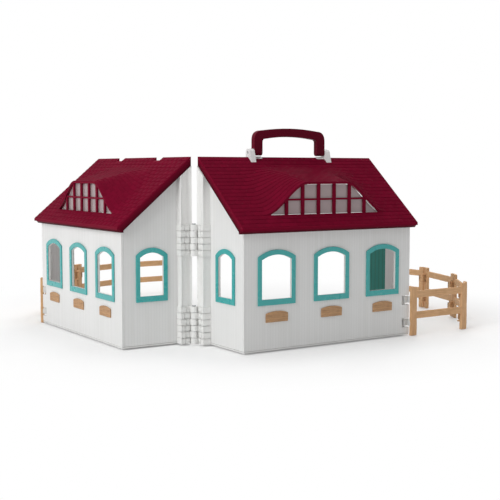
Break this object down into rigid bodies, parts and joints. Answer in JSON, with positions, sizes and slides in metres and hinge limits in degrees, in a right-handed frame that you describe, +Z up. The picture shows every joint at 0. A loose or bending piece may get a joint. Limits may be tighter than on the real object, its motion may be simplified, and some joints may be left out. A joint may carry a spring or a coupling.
{
  "type": "toy stable",
  "caption": "Carry-along toy stable of hinged half-houses with shingled roofs, arched windows, front doors, a folding handle and clip-on fences.",
  "frame": {"origin": "middle of the footprint of the opened stable with its fences, on the table", "axes": "+Z up; the right half runs along +X from the corner hinge, the left half along +Y"},
  "size_m": [0.6696, 0.6766, 0.315],
  "materials": {
    "white_wall": "satin white moulded plastic, planked",
    "white_stone": "satin white moulded plastic, stone courses",
    "roof_red": "satin dark red moulded plastic",
    "aqua_frame": "satin aqua moulded plastic",
    "tan_wood_look": "tan moulded plastic with a wood grain",
    "door_teal": "satin teal moulded plastic",
    "smoked_pane": "smoked clear plastic sheet",
    "steel_pin": "plain steel wire"
  },
  "bodies": {
    "right_half": {"right_floor": "white_wall", "right_long_wall": "white_wall", "right_rear_gable": "white_wall", "right_front_gable": "white_wall", "right_roof": "roof_red", "right_dormer_pane": "smoked_pane", "right_window_near": "aqua_frame", "right_plaque_near": "tan_wood_look", "right_window_middle": "aqua_frame", "right_plaque_middle": "tan_wood_look", "right_window_far": "aqua_frame", "right_plaque_far": "tan_wood_look", "right_gable_window": "aqua_frame", "right_hinge_column": "white_stone", "right_door_pin_lower": "steel_pin", "right_clip_pin_lower": "white_wall", "right_door_pin_upper": "steel_pin", "right_clip_pin_upper": "white_wall", "lower_hinge_pin": "steel_pin", "upper_hinge_pin": "steel_pin", "handle_ear_near": "white_wall", "handle_pin_near": "steel_pin", "handle_ear_far": "white_wall", "handle_pin_far": "steel_pin"},
    "left_half": {"left_floor": "white_wall", "left_long_wall": "white_wall", "left_rear_gable": "white_wall", "left_front_gable": "white_wall", "left_roof": "roof_red", "left_dormer_pane": "smoked_pane", "left_window_near": "aqua_frame", "left_plaque_near": "tan_wood_look", "left_window_middle": "aqua_frame", "left_plaque_middle": "tan_wood_look", "left_window_far": "aqua_frame", "left_plaque_far": "tan_wood_look", "left_gable_window": "aqua_frame", "left_hinge_column": "white_stone", "left_door_pin_lower": "steel_pin", "left_clip_pin_lower": "white_wall", "left_door_pin_upper": "steel_pin", "left_clip_pin_upper": "white_wall"},
    "handle": {"carrying_handle": "roof_red"},
    "right_door": {"right_door": "door_teal"},
    "left_door": {"left_door": "door_teal"},
    "fence_right_1": {"fence_right_1": "tan_wood_look"},
    "fence_right_2": {"fence_right_2": "tan_wood_look"},
    "fence_right_3": {"fence_right_3": "tan_wood_look"},
    "fence_right_4": {"fence_right_4": "tan_wood_look"},
    "fence_left_1": {"fence_left_1": "tan_wood_look"},
    "fence_left_2": {"fence_left_2": "tan_wood_look"},
    "fence_left_3": {"fence_left_3": "tan_wood_look"},
    "fence_left_4": {"fence_left_4": "tan_wood_look"}
  },
  "joints": [
    {"name": "corner_hinge", "type": "hinge", "parent": "right_half", "child": "left_half", "pos_m": [-0.21831, -0.22182, 0], "axis": [0, 0, 1], "range_deg": [-90, 90]},
    {"name": "handle_pivot", "type": "hinge", "parent": "right_half", "child": "handle", "pos_m": [-0.05191, -0.22182, 0.2784], "axis": [1, 0, 0], "range_deg": [0, 118]},
    {"name": "right_door_hinge", "type": "hinge", "parent": "right_half", "child": "right_door", "pos_m": [0.10129, -0.27612, 0], "axis": [0, 0, -1], "range_deg": [0, 120]},
    {"name": "left_door_hinge", "type": "hinge", "parent": "left_half", "child": "left_door", "pos_m": [-0.27261, 0.09778, 0], "axis": [0, 0, 1], "range_deg": [-90, 20]},
    {"name": "fence_right_clip_1", "type": "hinge", "parent": "right_half", "child": "fence_right_1", "pos_m": [0.09319, -0.32282, 0], "axis": [0, 0, -1], "range_deg": [-45, 75]},
    {"name": "fence_right_clip_2", "type": "hinge", "parent": "fence_right_1", "child": "fence_right_2", "pos_m": [0.2117, -0.32409, 0], "axis": [0, 0, 1], "range_deg": [-50, 35]},
    {"name": "fence_right_clip_3", "type": "hinge", "parent": "fence_right_2", "child": "fence_right_3", "pos_m": [0.28404, -0.2302, 0], "axis": [0, 0, -1], "range_deg": [-70, 15]},
    {"name": "fence_right_clip_4", "type": "hinge", "parent": "fence_right_3", "child": "fence_right_4", "pos_m": [0.32382, -0.11855, 0], "axis": [0, 0, 1], "range_deg": [-20, 65]},
    {"name": "fence_left_clip_1", "type": "hinge", "parent": "right_half", "child": "fence_left_1", "pos_m": [-0.31931, 0.08968, 0], "axis": [0, 0, -1], "range_deg": [-100, 15]},
    {"name": "fence_left_clip_2", "type": "hinge", "parent": "fence_left_1", "child": "fence_left_2", "pos_m": [-0.27132, 0.19805, 0], "axis": [0, 0, 1], "range_deg": [-65, 20]},
    {"name": "fence_left_clip_3", "type": "hinge", "parent": "fence_left_2", "child": "fence_left_3", "pos_m": [-0.18395, 0.27814, 0], "axis": [0, 0, -1], "range_deg": [-15, 70]},
    {"name": "fence_left_clip_4", "type": "hinge", "parent": "fence_left_3", "child": "fence_left_4", "pos_m": [-0.07494, 0.32466, 0], "axis": [0, 0, 1], "range_deg": [-65, 18]}
  ]
}
